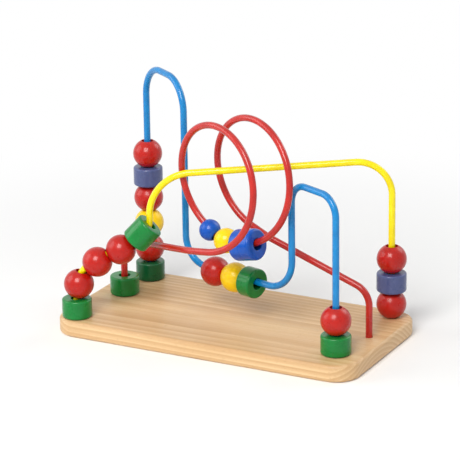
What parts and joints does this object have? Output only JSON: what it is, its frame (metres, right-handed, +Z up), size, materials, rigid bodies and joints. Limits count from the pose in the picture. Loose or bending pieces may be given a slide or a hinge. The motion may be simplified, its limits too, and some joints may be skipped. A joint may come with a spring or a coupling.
{
  "type": "bead maze",
  "caption": "Wooden board with bent coloured wires, among them one with a double loop, on which turned wooden beads slide and spin.",
  "frame": {"origin": "middle of the board on its underside", "axes": "+X along the board to the right as seen from the front, +Y to the back, +Z up"},
  "size_m": [0.29, 0.15, 0.221],
  "materials": {
    "bare_wood": "satin",
    "blue_coating": "gloss",
    "red_coating": "gloss",
    "yellow_coating": "gloss",
    "zinc_steel": "satin",
    "red_lacquer": "gloss",
    "yellow_lacquer": "gloss",
    "green_lacquer": "gloss",
    "dark_green_lacquer": "gloss",
    "blue_lacquer": "gloss",
    "lilac_lacquer": "gloss"
  },
  "bodies": {
    "board_with_wires": {"base_board": "bare_wood", "blue_wire": "blue_coating", "red_wire": "red_coating", "yellow_wire": "yellow_coating", "wire_nuts": "zinc_steel", "wire_washers": "zinc_steel"},
    "blue_stack_green_cylinder": {"blue_stack_green_cylinder": "dark_green_lacquer"},
    "blue_stack_lower_red_ball": {"blue_stack_lower_red_ball": "red_lacquer"},
    "blue_stack_yellow_ball": {"blue_stack_yellow_ball": "yellow_lacquer"},
    "blue_stack_middle_red_ball": {"blue_stack_middle_red_ball": "red_lacquer"},
    "blue_stack_lilac_cylinder": {"blue_stack_lilac_cylinder": "lilac_lacquer"},
    "blue_stack_top_red_ball": {"blue_stack_top_red_ball": "red_lacquer"},
    "front_foot_green_cylinder": {"front_foot_green_cylinder": "green_lacquer"},
    "front_foot_red_ball": {"front_foot_red_ball": "red_lacquer"},
    "red_foot_green_cylinder": {"red_foot_green_cylinder": "green_lacquer"},
    "slope_foot_green_cylinder": {"slope_foot_green_cylinder": "green_lacquer"},
    "slope_lower_red_ball": {"slope_lower_red_ball": "red_lacquer"},
    "slope_middle_red_ball": {"slope_middle_red_ball": "red_lacquer"},
    "slope_upper_red_ball": {"slope_upper_red_ball": "red_lacquer"},
    "slope_green_barrel": {"slope_green_barrel": "green_lacquer"},
    "back_foot_red_ball": {"back_foot_red_ball": "red_lacquer"},
    "back_foot_lilac_cylinder": {"back_foot_lilac_cylinder": "lilac_lacquer"},
    "back_foot_upper_red_ball": {"back_foot_upper_red_ball": "red_lacquer"},
    "low_run_red_ball": {"low_run_red_ball": "red_lacquer"},
    "low_run_yellow_ball": {"low_run_yellow_ball": "yellow_lacquer"},
    "low_run_green_disc": {"low_run_green_disc": "green_lacquer"},
    "loop_blue_spool": {"loop_blue_spool": "blue_lacquer"},
    "loop_yellow_ball": {"loop_yellow_ball": "yellow_lacquer"},
    "loop_blue_ball": {"loop_blue_ball": "blue_lacquer"}
  },
  "joints": [
    {"name": "blue_stack_green_cylinder_slide", "type": "slide", "parent": "board_with_wires", "child": "blue_stack_green_cylinder", "axis": [0, 0, 1], "range_m": [0, 0.007]},
    {"name": "blue_stack_lower_red_ball_slide", "type": "slide", "parent": "blue_stack_green_cylinder", "child": "blue_stack_lower_red_ball", "axis": [0, 0, 1], "range_m": [0, 0.007]},
    {"name": "blue_stack_yellow_ball_slide", "type": "slide", "parent": "blue_stack_lower_red_ball", "child": "blue_stack_yellow_ball", "axis": [0, 0, 1], "range_m": [0, 0.007]},
    {"name": "blue_stack_middle_red_ball_slide", "type": "slide", "parent": "blue_stack_yellow_ball", "child": "blue_stack_middle_red_ball", "axis": [0, 0, 1], "range_m": [0, 0.007]},
    {"name": "blue_stack_lilac_cylinder_slide", "type": "slide", "parent": "blue_stack_middle_red_ball", "child": "blue_stack_lilac_cylinder", "axis": [0, 0, 1], "range_m": [0, 0.007]},
    {"name": "blue_stack_top_red_ball_slide", "type": "slide", "parent": "blue_stack_lilac_cylinder", "child": "blue_stack_top_red_ball", "axis": [0, 0, 1], "range_m": [0, 0.007]},
    {"name": "low_run_red_ball_slide", "type": "slide", "parent": "board_with_wires", "child": "low_run_red_ball", "axis": [0.9594, -0.2819, 0], "range_m": [0, 0.0041]},
    {"name": "low_run_yellow_ball_slide", "type": "slide", "parent": "low_run_red_ball", "child": "low_run_yellow_ball", "axis": [0.9594, -0.2819, 0], "range_m": [0, 0.0041]},
    {"name": "low_run_green_disc_slide", "type": "slide", "parent": "low_run_yellow_ball", "child": "low_run_green_disc", "axis": [0.9594, -0.2819, 0], "range_m": [0, 0.0041]},
    {"name": "front_foot_green_cylinder_slide", "type": "slide", "parent": "board_with_wires", "child": "front_foot_green_cylinder", "axis": [0, 0, 1], "range_m": [0, 0.0385]},
    {"name": "front_foot_red_ball_slide", "type": "slide", "parent": "front_foot_green_cylinder", "child": "front_foot_red_ball", "axis": [0, 0, 1], "range_m": [0, 0.0385]},
    {"name": "red_foot_green_cylinder_slide", "type": "slide", "parent": "board_with_wires", "child": "red_foot_green_cylinder", "axis": [0, 0, 1], "range_m": [0, 0.02]},
    {"name": "back_foot_red_ball_slide", "type": "slide", "parent": "board_with_wires", "child": "back_foot_red_ball", "axis": [0, 0, 1], "range_m": [0, 0.015]},
    {"name": "back_foot_lilac_cylinder_slide", "type": "slide", "parent": "back_foot_red_ball", "child": "back_foot_lilac_cylinder", "axis": [0, 0, 1], "range_m": [0, 0.015]},
    {"name": "back_foot_upper_red_ball_slide", "type": "slide", "parent": "back_foot_lilac_cylinder", "child": "back_foot_upper_red_ball", "axis": [0, 0, 1], "range_m": [0, 0.015]},
    {"name": "slope_foot_green_cylinder_spin", "type": "hinge", "parent": "board_with_wires", "child": "slope_foot_green_cylinder", "pos_m": [-0.12601, -0.06, 0.0238], "axis": [0, 0, 1], "continuous": true},
    {"name": "slope_lower_red_ball_spin", "type": "hinge", "parent": "board_with_wires", "child": "slope_lower_red_ball", "pos_m": [-0.12383, -0.05912, 0.04548], "axis": [0.214, 0.0867, 0.973], "continuous": true},
    {"name": "slope_middle_red_ball_spin", "type": "hinge", "parent": "board_with_wires", "child": "slope_middle_red_ball", "pos_m": [-0.10816, -0.05277, 0.06608], "axis": [0.7822, 0.317, 0.5364], "continuous": true},
    {"name": "slope_upper_red_ball_spin", "type": "hinge", "parent": "board_with_wires", "child": "slope_upper_red_ball", "pos_m": [-0.08851, -0.04481, 0.07787], "axis": [0.8047, 0.3261, 0.4962], "continuous": true},
    {"name": "slope_green_barrel_travel", "type": "hinge", "parent": "board_with_wires", "child": "slope_green_barrel", "pos_m": [-0.08587, -0.04373, 0.10718], "axis": [0.3756, -0.9268, 0], "range_deg": [0, 5]},
    {"name": "loop_yellow_ball_swing", "type": "hinge", "parent": "board_with_wires", "child": "loop_yellow_ball", "pos_m": [0.01426, -0.02643, 0.14922], "axis": [-0.1994, -0.9796, -0.0266], "range_deg": [-3, 3]},
    {"name": "loop_blue_spool_swing", "type": "hinge", "parent": "loop_yellow_ball", "child": "loop_blue_spool", "pos_m": [0.01471, -0.02422, 0.14933], "axis": [-0.197, -0.9803, 0.0135], "range_deg": [0, 4]},
    {"name": "loop_blue_ball_swing", "type": "hinge", "parent": "loop_yellow_ball", "child": "loop_blue_ball", "pos_m": [0.01409, -0.02716, 0.14915], "axis": [0.2031, 0.9784, 0.0393], "range_deg": [0, 4]}
  ]
}
